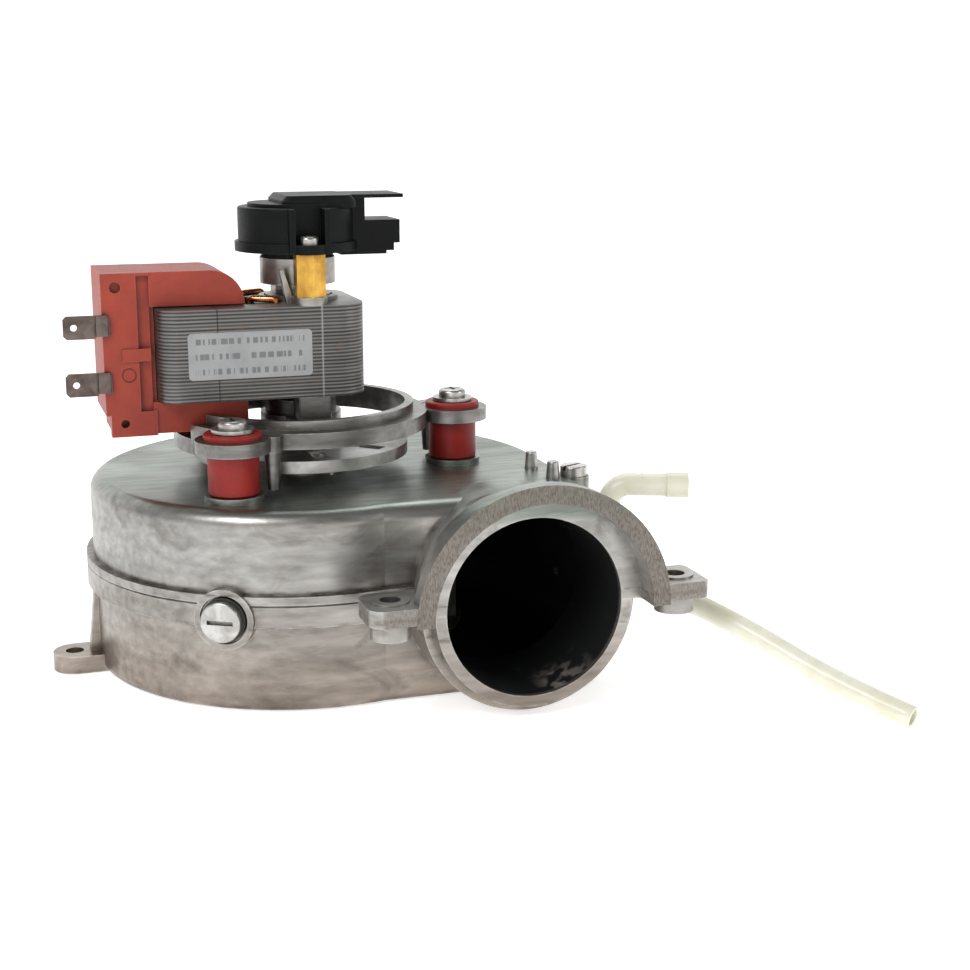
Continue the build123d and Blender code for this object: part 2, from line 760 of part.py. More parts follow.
# moulded coil cover: shell round the coil with a terminal block on its left front
cover_left = -56.2
cover_right = -17.4
cover_low = 67.6
cover_top = 113.0
block_low = 74.4
tab_low = 68.4
stack_top = stack_z + stack_h + 0.5
stack_low = stack_z - 0.5
with BuildPart() as coil_cover:
    with BuildSketch(Plane.XZ.offset(-10.2)):
        with BuildLine():
            Polyline(
                (cover_left + 2, cover_low + 1.2),
                (cover_right, cover_low + 1.2),
                (cover_right, cover_top),
                (cover_left + 2, cover_top),
                (cover_left + 2, cover_low + 1.2),
            )
        make_face()
    extrude(amount=20.4)
    # heavier bands above and below the stack
    with BuildSketch(Plane.XZ.offset(-12.0)):
        with Locations(((cover_right - 48.0) / 2, (cover_top + stack_top) / 2)):
            Rectangle(cover_right + 48.0, cover_top - stack_top)
        with Locations(((cover_right - 48.0) / 2, (cover_low + 1.2 + stack_low) / 2)):
            Rectangle(cover_right + 48.0, stack_low - cover_low - 1.2)
    extrude(amount=24)
    fillet(coil_cover.edges().filter_by(Axis.Y).sort_by(Axis.X)[-4:].group_by(Axis.Z)[-1], radius=9.4)
    # terminal block on the left
    with BuildSketch(Plane.XZ.offset(-12.5)):
        with BuildLine():
            Polyline(
                (cover_left, block_low),
                (-43.4, block_low),
                (-43.4, cover_top),
                (cover_left, cover_top),
                (cover_left, block_low),
            )
        make_face()
    extrude(amount=25)
    # fixing tab with its hole at the lower left
    with BuildSketch(Plane.XZ.offset(9.2)):
        with Locations((-48.7, (tab_low + block_low + 1) / 2)):
            Rectangle(12.4, block_low + 1 - tab_low)
    extrude(amount=3.3)
    with BuildSketch(Plane.XZ.offset(9)):
        with Locations((-51.2, 72.0)):
            Circle(1.2)
    extrude(amount=4, mode=Mode.SUBTRACT)
    # groove between the block and the shell, and a dimple at the block's top
    with BuildSketch(Plane.XZ.offset(11.0)):
        with Locations((-45.1, (block_low + cover_top) / 2)):
            Rectangle(3.4, cover_top - block_low - 1.6)
        with Locations((-52.4, 109.2)):
            Circle(1.5)
    extrude(amount=2, mode=Mode.SUBTRACT)
    # space for the coil and its bobbin
    with BuildSketch(Plane.XZ.offset(-8.9)):
        with Locations((core_mid, stack_mid)):
            RectangleRounded(core_w + 15.6, stack_h + 16.4, 3)
    extrude(amount=17.8, mode=Mode.SUBTRACT)
    # openings for the core limb
    with BuildSketch(Plane.XZ.offset(-14)):
        with Locations((core_mid, stack_mid)):
            Rectangle(core_w + 0.4, stack_h + 0.4)
    extrude(amount=28, mode=Mode.SUBTRACT)
    # raised bridge across the groove, and a shallow ring mark below it
    with BuildSketch(Plane.XZ.offset(11.0)):
        with Locations((-47.4, 90.8)):
            Rectangle(7.6, 3.4)
    extrude(amount=2.0)
    with BuildSketch(Plane.XZ.offset(12.1)):
        with Locations((-49.6, 85.4)):
            Circle(2.1)
            Circle(1.5, mode=Mode.SUBTRACT)
    extrude(amount=1, mode=Mode.SUBTRACT)
coil_cover.part.label = "coil_cover"
export_step(coil_cover.part, "parts/coil_cover.step")

# flat 6.3 x 0.8 terminals standing out to the left
for terminal_name, terminal_z in (("terminal_upper", 98.9), ("terminal_lower", 83.4)):
    with BuildPart() as terminal:
        with BuildSketch(Plane.XZ.offset(12.5)):
            with Locations((-62.2, terminal_z)):
                Rectangle(8.6, 6.3)
            with Locations((-56.6, terminal_z)):
                Rectangle(4.6, 5.2)
            with Locations((-63.7, terminal_z)):
                Circle(0.9, mode=Mode.SUBTRACT)
        extrude(amount=0.8)
        chamfer(terminal.edges().filter_by(Axis.Y).group_by(Axis.X)[0], length=0.9)
        # twisted tail that holds the coil's wire
        with BuildSketch(Plane.XZ.offset(12.5)):
            with Locations((-56.4, terminal_z + 0.4)):
                Rectangle(3.0, 5.6)
        extrude(amount=1.8)
    terminal.part.label = terminal_name
    export_step(terminal.part, "parts/" + terminal_name + ".step")

# copper shading rings: a closed loop round part of each pole
with BuildPart() as shading_rings:
    for side in (1, -1):
        a = Vector(-15.25, side * 6.6, 0)
        b = Vector(-8.4, side * 10.4, 0)
        low = Vector(0, 0, stack_z - 1.1)
        high = Vector(0, 0, tower_z + 1.1)
        with BuildLine() as ring_line:
            FilletPolyline(a + low, b + low, b + high, a + high, radius=1.1, close=True)
        with BuildSketch(Plane(origin=ring_line.line @ 0, z_dir=ring_line.line % 0)):
            Circle(0.95)
        sweep(path=ring_line.line)
shading_rings.part.label = "shading_rings"
export_step(shading_rings.part, "parts/shading_rings.step")

with BuildPart() as rating_label:
    with BuildSketch(Plane.XZ.offset(stack_half)):
        with Locations((-17.6, 90.6)):
            RectangleRounded(34.0, 12.8, 1.2)
    extrude(amount=0.15)
rating_label.part.label = "rating_label"
export_step(rating_label.part, "parts/rating_label.step")

with BuildPart() as stack_bolts:
    with BuildSketch(Plane.XY.offset(bracket_z - 2.6)):
        with Locations((0, bolt_y), (0, -bolt_y)):
            RegularPolygon(3.5, 6, major_radius=False)
    extrude(amount=2.6)
    with BuildSketch(Plane.XY.offset(bracket_z)):
        with Locations((0, bolt_y), (0, -bolt_y)):
            Circle(1.9)
    extrude(amount=110 - bracket_z)
stack_bolts.part.label = "stack_bolts"
export_step(stack_bolts.part, "parts/stack_bolts.step")

# upper bearing bridge: foot plate on the stack, cone and bearing cup
with BuildPart() as bearing_bridge:
    with BuildSketch(Plane.XZ):
        with BuildLine():
            Polyline(
                (9.7, tower_z),
                (11.2, tower_z),
                (11.2, 105.6),
                (10.6, 108.0),
                (10.6, 115.0),
                (9.6, 116.2),
                (3.2, 116.2),
                (3.2, 114.4),
                (7.5, 114.4),
                (7.5, 108.3),
                (9.7, 106.4),
                (9.7, tower_z),
            )
        make_face()
    revolve(axis=Axis.Z)
    with BuildSketch(Plane.XY.offset(tower_z)):
        with Locations((0, 0)):
            SlotOverall(2 * bolt_y + 9.4, 9.4, rotation=90)
        Circle(10.4, mode=Mode.SUBTRACT)
        with Locations((0, bolt_y), (0, -bolt_y)):
            Circle(2.0, mode=Mode.SUBTRACT)
    extrude(amount=2.2)
    # open sides: two legs carry the cup above the foot ring
    window_z = tower_z + 2.9
    window_h = 3.4
    with BuildSketch(Plane.YZ.offset(-14)):
        with Locations((0, window_z)):
            Rectangle(15.0, window_h)
    extrude(amount=28, mode=Mode.SUBTRACT)
    with BuildSketch(Plane.XZ.offset(-14)):
        with Locations((-8.9, window_z), (8.9, window_z)):
            Rectangle(8.2, window_h)
    extrude(amount=28, mode=Mode.SUBTRACT)
    # thin cast rib leaning away from the front standoff's foot
    with BuildSketch(Plane.XZ.offset(10.2)):
        with BuildLine():
            Polyline(
                (-5.8, tower_z),
                (-3.6, tower_z),
                (-6.6, tower_z + 9.2),
                (-7.6, tower_z + 9.2),
                (-5.8, tower_z),
            )
        make_face()
    extrude(amount=2.4)
bearing_bridge.part.label = "bearing_bridge"
export_step(bearing_bridge.part, "parts/bearing_bridge.step")

with BuildPart() as brass_standoffs:
    with BuildSketch(Plane.XY.offset(tower_z + 2.2)):
        with Locations((0, bolt_y), (0, -bolt_y)):
            RegularPolygon(4.0, 6, major_radius=False, rotation=30)
            Circle(1.95, mode=Mode.SUBTRACT)
    extrude(amount=cap_z - tower_z - 2.2)
brass_standoffs.part.label = "brass_standoffs"
export_step(brass_standoffs.part, "parts/brass_standoffs.step")

# ---------------------------------------------------------------- speed sensor
with BuildPart() as sensor_cap:
    with BuildSketch(Plane.XY.offset(cap_z)):
        Circle(17.4)
    extrude(amount=2.6)
    with BuildSketch(Plane.XY.offset(cap_z + 2.6)):
        Circle(16.4)
    extrude(amount=9.6)
    fillet(sensor_cap.edges().group_by(Axis.Z)[-1], radius=0.6)
    with BuildSketch(Plane.XY.offset(cap_z + 12)):
        Circle(13.6)
    extrude(amount=1.2)
    # platform on the lid, the plate over the connector, and the connector's stepped body
    with BuildSketch(Plane.XY.offset(cap_z + 12)):
        with Locations((4.5, 0)):
            RectangleRounded(21, 24, 3)
    extrude(amount=3.4)
    chamfer(sensor_cap.edges().group_by(Axis.Z)[-1].filter_by(Axis.Y).sort_by(Axis.X)[0], length=1.4)
    with BuildSketch(Plane.XY.offset(cap_z + 14.4)):
        with Locations((20.4, 0)):
            Rectangle(17, 17)
    extrude(amount=1.0)
    with BuildSketch(Plane.XZ.offset(-7.5)):
        with BuildLine():
            Polyline(
                (9.0, cap_z + 14.6),
                (9.0, cap_z),
                (11.0, cap_z - 1.3),
                (24.2, cap_z - 1.3),
                (24.2, cap_z - 0.4),
                (26.4, cap_z - 0.4),
                (26.4, cap_z + 1.7),
                (28.1, cap_z + 1.7),
                (28.1, cap_z + 8.2),
                (18.0, cap_z + 8.2),
                (18.0, cap_z + 14.6),
                (9.0, cap_z + 14.6),
            )
        make_face()
    extrude(amount=15)
    # cavity of the drum and the connector's mouth
    with BuildSketch(Plane.XY.offset(cap_z)):
        Circle(14.6)
    extrude(amount=10.6, mode=Mode.SUBTRACT)
    with BuildSketch(Plane.YZ.offset(19.5)):
        with Locations((0, cap_z + 4.0)):
            Rectangle(11.6, 5.8)
    extrude(amount=20, mode=Mode.SUBTRACT)
    # screw pockets: floor, back wall, then the pocket between two ribs
    with BuildSketch(Plane.XY.offset(cap_z)):
        with Locations((0, bolt_y), (0, -bolt_y)):
            Circle(4.8)
    extrude(amount=2.6)
    with BuildSketch(Plane.XY.offset(cap_z)):
        with Locations((0, 13.4), (0, -13.4)):
            Rectangle(11.0, 4.6)
        with Locations((-4.9, 16.2), (4.9, 16.2), (-4.9, -16.2), (4.9, -16.2)):
            Rectangle(1.6, 4.6)
    extrude(amount=12.2)
    with BuildSketch(Plane.XY.offset(cap_z + 2.6)):
        with Locations((0, 17.6), (0, -17.6)):
            Rectangle(8.2, 9.6)
    extrude(amount=20, mode=Mode.SUBTRACT)
    with BuildSketch(Plane.XY.offset(cap_z)):
        with Locations((0, bolt_y), (0, -bolt_y)):
            Circle(1.6)
    extrude(amount=4, mode=Mode.SUBTRACT)
sensor_cap.part.label = "sensor_cap"
export_step(sensor_cap.part, "parts/sensor_cap.step")

with BuildPart() as cap_screws:
    with BuildSketch(Plane.XY.offset(cap_z - 5)):
        with Locations((0, bolt_y), (0, -bolt_y)):
            Circle(1.5)
    extrude(amount=7.6)
    with BuildSketch(Plane.XY.offset(cap_z + 2.6)):
        with Locations((0, bolt_y), (0, -bolt_y)):
            Circle(2.8)
    extrude(amount=2.2)
    fillet(cap_screws.edges().group_by(Axis.Z)[-1], radius=0.8)
    with BuildSketch(Plane.XY.offset(cap_z + 3.8)):
        with Locations((0, bolt_y), (0, -bolt_y)):
            Rectangle(3.4, 0.8)
            Rectangle(0.8, 3.4)
    extrude(amount=2, mode=Mode.SUBTRACT)
cap_screws.part.label = "cap_screws"
export_step(cap_screws.part, "parts/cap_screws.step")

with BuildPart() as sensor_board:
    with BuildSketch(Plane.XY.offset(cap_z + 8.6)):
        Circle(9.6)
    extrude(amount=1.6)
    with BuildSketch(Plane.XY.offset(cap_z + 6.6)):
        with Locations((6.4, 0)):
            Rectangle(3.2, 4.2)
    extrude(amount=2.0)
sensor_board.part.label = "sensor_board"
export_step(sensor_board.part, "parts/sensor_board.step")

with BuildPart() as connector_pins:
    with BuildSketch(Plane.YZ.offset(19.5)):
        with Locations((-3.4, cap_z + 4.0), (0, cap_z + 4.0), (3.4, cap_z + 4.0)):
            Rectangle(0.8, 0.8)
    extrude(amount=6.0)
connector_pins.part.label = "connector_pins"
export_step(connector_pins.part, "parts/connector_pins.step")

# ---------------------------------------------------------------- rotor
shaft_low = 24.0
shaft_top = 122.0
with BuildPart() as shaft:
    with BuildSketch(Plane.XY.offset(shaft_low)):
        Circle(shaft_r)
    extrude(amount=shaft_top - shaft_low)
    chamfer(shaft.edges().group_by(Axis.Z)[0], length=0.5)
shaft.part.label = "shaft"
export_step(shaft.part, "parts/shaft.step")

with BuildPart() as rotor_pack:
    with BuildSketch(Plane.XY.offset(stack_z)):
        Circle(rotor_r)
        Circle(shaft_r, mode=Mode.SUBTRACT)
    extrude(amount=stack_h)
rotor_pack.part.label = "rotor_pack"
export_step(rotor_pack.part, "parts/rotor_pack.step")

with BuildPart() as rotor_end_rings:
    with BuildSketch(Plane.XY.offset(stack_z - 1.4)):
        Circle(9.2)
        Circle(6.2, mode=Mode.SUBTRACT)
    extrude(amount=1.4)
    with BuildSketch(Plane.XY.offset(tower_z)):
        Circle(9.2)
        Circle(6.2, mode=Mode.SUBTRACT)
    extrude(amount=1.4)
rotor_end_rings.part.label = "rotor_end_rings"
export_step(rotor_end_rings.part, "parts/rotor_end_rings.step")

with BuildPart() as sensor_magnet:
    with BuildSketch(Plane.XY.offset(shaft_top - 4.2)):
        Circle(6.4)
        Circle(shaft_r, mode=Mode.SUBTRACT)
    extrude(amount=4.2)
sensor_magnet.part.label = "sensor_magnet"
export_step(sensor_magnet.part, "parts/sensor_magnet.step")

# sheet cooling wheel under the bracket: disc with vanes bent down
with BuildPart() as cooling_wheel:
    with BuildSketch(Plane.XY.offset(61.4)):
        Circle(30.6)
        Circle(shaft_r, mode=Mode.SUBTRACT)
        with PolarLocations(22.5, 8):
            Rectangle(9.0, 4.2, mode=Mode.SUBTRACT)
    extrude(amount=0.7)
    with BuildSketch(Plane.XY.offset(58.7)):
        Circle(30.6)
        Circle(29.8, mode=Mode.SUBTRACT)
    extrude(amount=3.0)
    with BuildSketch(Plane.XY.offset(57.2)):
        with PolarLocations(22.5, 8):
            with Locations((0, 2.5)):
                Rectangle(9.0, 0.7)
    extrude(amount=4.5)
    with BuildSketch(Plane.XY.offset(57.2)):
        Circle(5.2)
        Circle(shaft_r, mode=Mode.SUBTRACT)
    extrude(amount=7.2)
cooling_wheel.part.label = "cooling_wheel"
export_step(cooling_wheel.part, "parts/cooling_wheel.step")

# impeller: back plate on top, blades, and a shroud ring round the eye
blade_count = 24
impeller_r = 46.0
eye_r = 27.5
impeller_low = 9.0
impeller_top = 41.0
with BuildPart() as impeller:
    with BuildSketch(Plane.XY.offset(impeller_top - 0.9)):
        Circle(impeller_r)
        Circle(6.0, mode=Mode.SUBTRACT)
    extrude(amount=0.9)
    with BuildSketch(Plane.XY.offset(impeller_low)):
        Circle(impeller_r)
        Circle(eye_r, mode=Mode.SUBTRACT)
    extrude(amount=0.9)
    with BuildSketch(Plane.XY.offset(impeller_low + 0.4)):
        with PolarLocations(36.6, blade_count):
            Rectangle(19.0, 0.9, rotation=38)
    extrude(amount=impeller_top - impeller_low - 0.8)
impeller.part.label = "impeller"
export_step(impeller.part, "parts/impeller.step")

with BuildPart() as impeller_hub:
    with BuildSketch(Plane.XY.offset(impeller_top)):
        Circle(11.0)
        Circle(shaft_r, mode=Mode.SUBTRACT)
    extrude(amount=1.6)
    with BuildSketch(Plane.XY.offset(33.4)):
        Circle(6.0)
        Circle(shaft_r, mode=Mode.SUBTRACT)
    extrude(amount=impeller_top - 33.4)
    with BuildSketch(Plane.XY.offset(impeller_top + 1.6)):
        Circle(5.6)
        Circle(shaft_r, mode=Mode.SUBTRACT)
    extrude(amount=3.4)
impeller_hub.part.label = "impeller_hub"
export_step(impeller_hub.part, "parts/impeller_hub.step")

with BuildPart() as impeller_nut:
    with BuildSketch(Plane.XY.offset(29.4)):
        RegularPolygon(4.0, 6, major_radius=False)
        Circle(shaft_r, mode=Mode.SUBTRACT)
    extrude(amount=4.0)
impeller_nut.part.label = "impeller_nut"
export_step(impeller_nut.part, "parts/impeller_nut.step")
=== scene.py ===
import math

import bmesh
import bpy
from mathutils import Matrix, Vector


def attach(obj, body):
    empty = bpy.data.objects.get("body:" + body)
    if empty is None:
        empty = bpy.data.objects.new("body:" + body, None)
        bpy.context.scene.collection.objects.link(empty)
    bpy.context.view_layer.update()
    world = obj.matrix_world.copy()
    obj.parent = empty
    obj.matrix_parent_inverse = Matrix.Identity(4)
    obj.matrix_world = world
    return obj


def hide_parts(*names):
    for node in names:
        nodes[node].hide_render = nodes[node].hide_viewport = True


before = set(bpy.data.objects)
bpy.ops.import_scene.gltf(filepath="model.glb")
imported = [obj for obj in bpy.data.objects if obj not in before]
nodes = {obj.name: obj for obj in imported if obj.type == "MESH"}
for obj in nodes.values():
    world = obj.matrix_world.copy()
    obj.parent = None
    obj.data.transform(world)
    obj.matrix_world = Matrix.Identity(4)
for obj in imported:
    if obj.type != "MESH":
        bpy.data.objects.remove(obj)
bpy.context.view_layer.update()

MM = 0.001
scene = bpy.context.scene


def put(obj):
    scene.collection.objects.link(obj)
    return obj


# ------------------------------------------------------------------ camera
azimuth, elevation = math.radians(-18.2), math.radians(13.12)
level = math.cos(elevation)
back = Vector((math.sin(azimuth) * level, -math.cos(azimuth) * level, math.sin(elevation)))
right = Vector((math.cos(azimuth), math.sin(azimuth), 0.0))
up = back.cross(right)
camera_data = bpy.data.cameras.new("camera")
camera_data.sensor_width = 36.0
camera_data.lens = 62.47
camera_data.clip_start = 0.01
camera = put(bpy.data.objects.new("camera", camera_data))
look = Matrix((right, up, back)).transposed().to_4x4()
look.translation = Vector((-98.9, -471.0, 160.0)) * MM
camera.matrix_world = look
scene.camera = camera

# ------------------------------------------------------------------ pressure hose (free end)
HOSE_ROUTE = [
    (82.873, -48.465, 24.0),
    (92.425, -61.297, 24.0),
    (106.0, -78.9, 17.4),
    (120.6, -98.6, 8.0),
    (133.6, -117.2, 3.15),
]
HOSE_R = 3.0 * MM
HOSE_BORE = 2.05 * MM


def nurbs_points(route):
    """Points of the smooth line through a route in mm."""
    data = bpy.data.curves.new("hose_line", "CURVE")
    data.dimensions = "3D"
    data.resolution_u = 14
    spline = data.splines.new("NURBS")
    spline.points.add(len(route) - 1)
    for point, p in zip(spline.points, route):
        point.co = (p[0] * MM, p[1] * MM, p[2] * MM, 1.0)
    spline.order_u = 3
    spline.use_endpoint_u = True
    line = bpy.data.objects.new("hose_line", data)
    mesh = bpy.data.meshes.new_from_object(line)
    points = [v.co.copy() for v in mesh.vertices]
    bpy.data.objects.remove(line)
    bpy.data.meshes.remove(mesh)
    return points


def tube(name, points, outer, inner, segments=40):
    """Hollow tube with rounded cut ends along the points."""
    bm = bmesh.new()
    count = len(points)
    tangents = []
    for i in range(count):
        a = points[max(i - 1, 0)]
        b = points[min(i + 1, count - 1)]
        tangents.append((b - a).normalized())
    side = tangents[0].orthogonal().normalized()
    frames = []
    for t in tangents:
        side = (side - t * side.dot(t)).normalized()
        frames.append((side, t.cross(side)))

    def ring(i, radius, shift=0.0):
        s, n = frames[i]
        centre = points[i] + tangents[i] * shift
        out = []
        for k in range(segments):
            angle = 2 * math.pi * k / segments
            out.append(bm.verts.new(centre + (s * math.cos(angle) + n * math.sin(angle)) * radius))
        return out

    soft = 0.2 * MM
    rings = [ring(0, inner + soft), ring(0, outer - soft), ring(0, outer, soft)]
    rings += [ring(i, outer) for i in range(1, count - 1)]
    rings += [ring(count - 1, outer, -soft), ring(count - 1, outer - soft), ring(count - 1, inner + soft)]
    rings += [ring(count - 1, inner, -soft)]
    rings += [ring(i, inner) for i in range(count - 2, 0, -1)]
    rings += [ring(0, inner, soft)]
    for a, b in zip(rings, rings[1:] + rings[:1]):
        for k in range(segments):
            j = (k + 1) % segments
            bm.faces.new((a[k], a[j], b[j], b[k]))
    bmesh.ops.recalc_face_normals(bm, faces=bm.faces)
    mesh = bpy.data.meshes.new(name)
    bm.to_mesh(mesh)
    bm.free()
    for polygon in mesh.polygons:
        polygon.use_smooth = True
    return put(bpy.data.objects.new(name, mesh))


hose_points = nurbs_points(HOSE_ROUTE)
hose = tube("free_pressure_hose", hose_points, HOSE_R, HOSE_BORE)
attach(hose, "housing")
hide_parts("pressure_hose")


# ------------------------------------------------------------------ shader helpers
class Shader:
    """A principled material with short calls for its nodes."""

    def __init__(self, name, metallic=0.0, roughness=0.5, **sockets):
        self.material = bpy.data.materials.new(name)
        self.material.use_nodes = True
        self.tree = self.material.node_tree
        self.bsdf = self.tree.nodes["Principled BSDF"]
        self.bsdf.inputs["Metallic"].default_value = metallic
        self.bsdf.inputs["Roughness"].default_value = roughness
        for key, value in sockets.items():
            self.bsdf.inputs[key.replace("_", " ")].default_value = value
        self.object_coords = None

    def add(self, kind, inputs=None, **settings):
        made = self.tree.nodes.new(kind)
        for key, value in settings.items():
            setattr(made, key, value)
        for key, value in (inputs or {}).items():
            self.feed(made.inputs[key], value)
        return made

    def feed(self, socket, value):
        if isinstance(value, bpy.types.NodeSocket):
            self.tree.links.new(value, socket)
        elif isinstance(value, (tuple, list)) and len(value) == 3 and socket.type == "RGBA":
            socket.default_value = (*value, 1.0)
        else:
            socket.default_value = value

    def coords(self, stretch=None, rotation=(0, 0, 0)):
        """Object coordinates in metres, stretched and turned if asked."""
        if self.object_coords is None:
            self.object_coords = self.add("ShaderNodeTexCoord").outputs["Object"]
        if stretch is None:
            return self.object_coords
        made = self.add("ShaderNodeMapping", {"Vector": self.object_coords})
        made.inputs["Scale"].default_value = stretch
        made.inputs["Rotation"].default_value = rotation
        return made.outputs["Vector"]

    def xyz(self):
        return self.add("ShaderNodeSeparateXYZ", {"Vector": self.coords()}).outputs

    def noise(self, scale, detail=4.0, stretch=(1, 1, 1), rotation=(0, 0, 0), distortion=0.0, roughness=0.55):
        made = self.add("ShaderNodeTexNoise", {"Vector": self.coords(stretch, rotation)})
        made.inputs["Scale"].default_value = scale
        made.inputs["Detail"].default_value = detail
        made.inputs["Roughness"].default_value = roughness
        made.inputs["Distortion"].default_value = distortion
        return made.outputs["Fac"]

    def math(self, operation, a, b=0.0, clamp=False):
        return self.add("ShaderNodeMath", {0: a, 1: b}, operation=operation, use_clamp=clamp).outputs[0]

    def span(self, value, low, high, to_low=0.0, to_high=1.0):
        """Value mapped from low..high to to_low..to_high, held at both ends."""
        made = self.add("ShaderNodeMapRange", {0: value, 1: low, 2: high, 3: to_low, 4: to_high})
        return made.outputs[0]

    def mix(self, factor, a, b, blend="MIX"):
        made = self.add("ShaderNodeMix", data_type="RGBA", blend_type=blend)
        self.feed(made.inputs["Factor"], factor)
        colours = [s for s in made.inputs if s.type == "RGBA"]
        self.feed(colours[0], a)
        self.feed(colours[1], b)
        return [s for s in made.outputs if s.type == "RGBA"][0]

    def below(self, value, edge, soft):
        """1 where value is below edge, fading over soft."""
        return self.span(value, edge - soft, edge + soft, 1.0, 0.0)

    def radius(self, a, b, ca, cb):
        """Distance of (a, b) from the centre (ca, cb)."""
        da = self.math("SUBTRACT", a, ca)
        db = self.math("SUBTRACT", b, cb)
        total = self.math("ADD", self.math("MULTIPLY", da, da), self.math("MULTIPLY", db, db))
        return self.math("SQRT", total)

    def facing_up(self):
        """How far the surface faces upward, from -1 to 1."""
        normal = self.add("ShaderNodeNewGeometry").outputs["Normal"]
        return self.add("ShaderNodeSeparateXYZ", {"Vector": normal}).outputs[2]

    def occlusion(self, distance):
        """Ambient occlusion: 1 in the open, lower in hollows within distance."""
        made = self.add("ShaderNodeAmbientOcclusion", samples=6)
        made.inputs["Distance"].default_value = distance
        return made.outputs["AO"]

    def edges(self, radius):
        """1 on sharp edges, 0 on flat ground."""
        bevel = self.add("ShaderNodeBevel", samples=4)
        bevel.inputs["Radius"].default_value = radius
        normal = self.add("ShaderNodeNewGeometry").outputs["Normal"]
        dot = self.add("ShaderNodeVectorMath", {0: bevel.outputs[0], 1: normal}, operation="DOT_PRODUCT")
        return self.span(dot.outputs["Value"], 0.985, 0.85, 0.0, 1.0)

    def bump(self, height, strength, distance):
        """Normal of a surface raised by height times distance."""
        made = self.add("ShaderNodeBump", {"Height": height})
        made.inputs["Strength"].default_value = strength
        made.inputs["Distance"].default_value = distance
        return made.outputs["Normal"]

    def set(self, **sockets):
        for key, value in sockets.items():
            self.feed(self.bsdf.inputs[key.replace("_", " ")], value)
        return self.material


# places on the casing in metres
OUTLET_X = 0.044
OUTLET_Z = 0.030
OUTLET_BORE = 0.02425
COLLAR_FACE_Y = -0.08685
COLLAR_INNER = 0.0290
SHARP = 0.0001
# inner scroll wall by quarter: (west side, south side, arc centre x, arc centre y, radius)
SCROLL_QUARTERS = (
    (True, True, -0.0016, 0.0015, 0.0562),
    (True, False, 0.0039, 0.0015, 0.0617),
    (False, False, 0.0039, -0.0017, 0.0649),
)


def joint_dirt_and_painted_roof_tint(s, z, colour):
    """Warm lower half, a darker greenish roof that is a painted reflection, and broken dirt lines along the
    casing's joint.
    """
    warm = s.math("MULTIPLY", s.below(z, 0.020, 0.016), 0.75)
    colour = s.mix(warm, colour, (0.78, 0.64, 0.54), "MULTIPLY")
    # painted reflection: the roof is darkened and tinted green as if it mirrored a dark ceiling
    cool = s.math("MULTIPLY", s.span(z, 0.0525, 0.0543), 0.9)
    colour = s.mix(cool, colour, (0.66, 0.76, 0.71), "MULTIPLY")
    above = s.math("ABSOLUTE", s.math("SUBTRACT", z, 0.0326))
    under = s.math("ABSOLUTE", s.math("SUBTRACT", z, 0.0236))
    line = s.below(s.math("MINIMUM", above, under), 0.0004, 0.0006)
    broken = s.span(s.noise(260, 5, stretch=(1, 1, 3)), 0.42, 0.60)
    dirt = s.math("MULTIPLY", s.math("MULTIPLY", line, broken), 0.85)
    return s.mix(dirt, colour, (0.07, 0.055, 0.04))


def collar_rim(s, x, y, z):
    """Mask of the collar's front face and mask of the tool marks on it."""
    face = s.below(y, COLLAR_FACE_Y, SHARP)
    outside = s.span(s.radius(x, z, OUTLET_X, OUTLET_Z), COLLAR_INNER, COLLAR_INNER + 0.0003)
    rim = s.math("MULTIPLY", face, outside)
    marks = s.noise(2600, 4, stretch=(1, 1, 0.3), rotation=(0, 0.75, 0), roughness=0.65)
    return rim, s.math("MULTIPLY", rim, s.span(marks, 0.40, 0.66))


def soot_mask(s, x, y, z):
    """1 on the inside of the outlet pipe and of the scroll."""
    bore = s.below(s.radius(x, z, OUTLET_X, OUTLET_Z), OUTLET_BORE, SHARP)
    pipe = s.math("MULTIPLY", bore, s.span(y, -0.0783, -0.0765))
    pipe = s.math("MULTIPLY", pipe, s.below(y, -0.0450, 0.0002))
    deep = s.math("MULTIPLY", s.span(z, 0.0028, 0.0029), s.below(z, 0.0516, SHARP))
    west = s.below(x, 0.0039, SHARP)
    south = s.below(y, 0.0015, SHARP)
    east = s.math("SUBTRACT", 1.0, west)
    north = s.math("SUBTRACT", 1.0, south)
    scroll = s.math("MULTIPLY", s.math("MULTIPLY", east, south), s.below(x, 0.0687, SHARP))
    scroll = s.math("MULTIPLY", scroll, s.span(y, -0.0468, -0.0466))
    for in_west, in_south, centre_x, centre_y, r in SCROLL_QUARTERS:
        quarter = s.math("MULTIPLY", west if in_west else east, south if in_south else north)
        within = s.below(s.radius(x, y, centre_x, centre_y), r, SHARP)
        scroll = s.math("ADD", scroll, s.math("MULTIPLY", quarter, within))
    return s.math("MAXIMUM", pipe, s.math("MULTIPLY", deep, scroll, True), True)


def soot_colour(s, x, y, z):
    """Black soot with a few flakes, and pale ash low at the right of the mouth."""
    flaking = s.span(s.noise(190, 6, stretch=(1, 0.4, 1)), 0.60, 0.76)
    flake = s.mix(flaking, (0.005, 0.006, 0.006), (0.014, 0.016, 0.016))
    low_side = s.math("MULTIPLY", s.below(z, 0.0105, 0.0035), s.span(x, 0.046, 0.052))
    low_side = s.math("MULTIPLY", low_side, s.below(y, -0.0655, 0.0045))
    ash = s.math("MULTIPLY", low_side, s.span(s.noise(210, 6), 0.45, 0.55))
    return s.mix(ash, flake, (0.23, 0.205, 0.185))


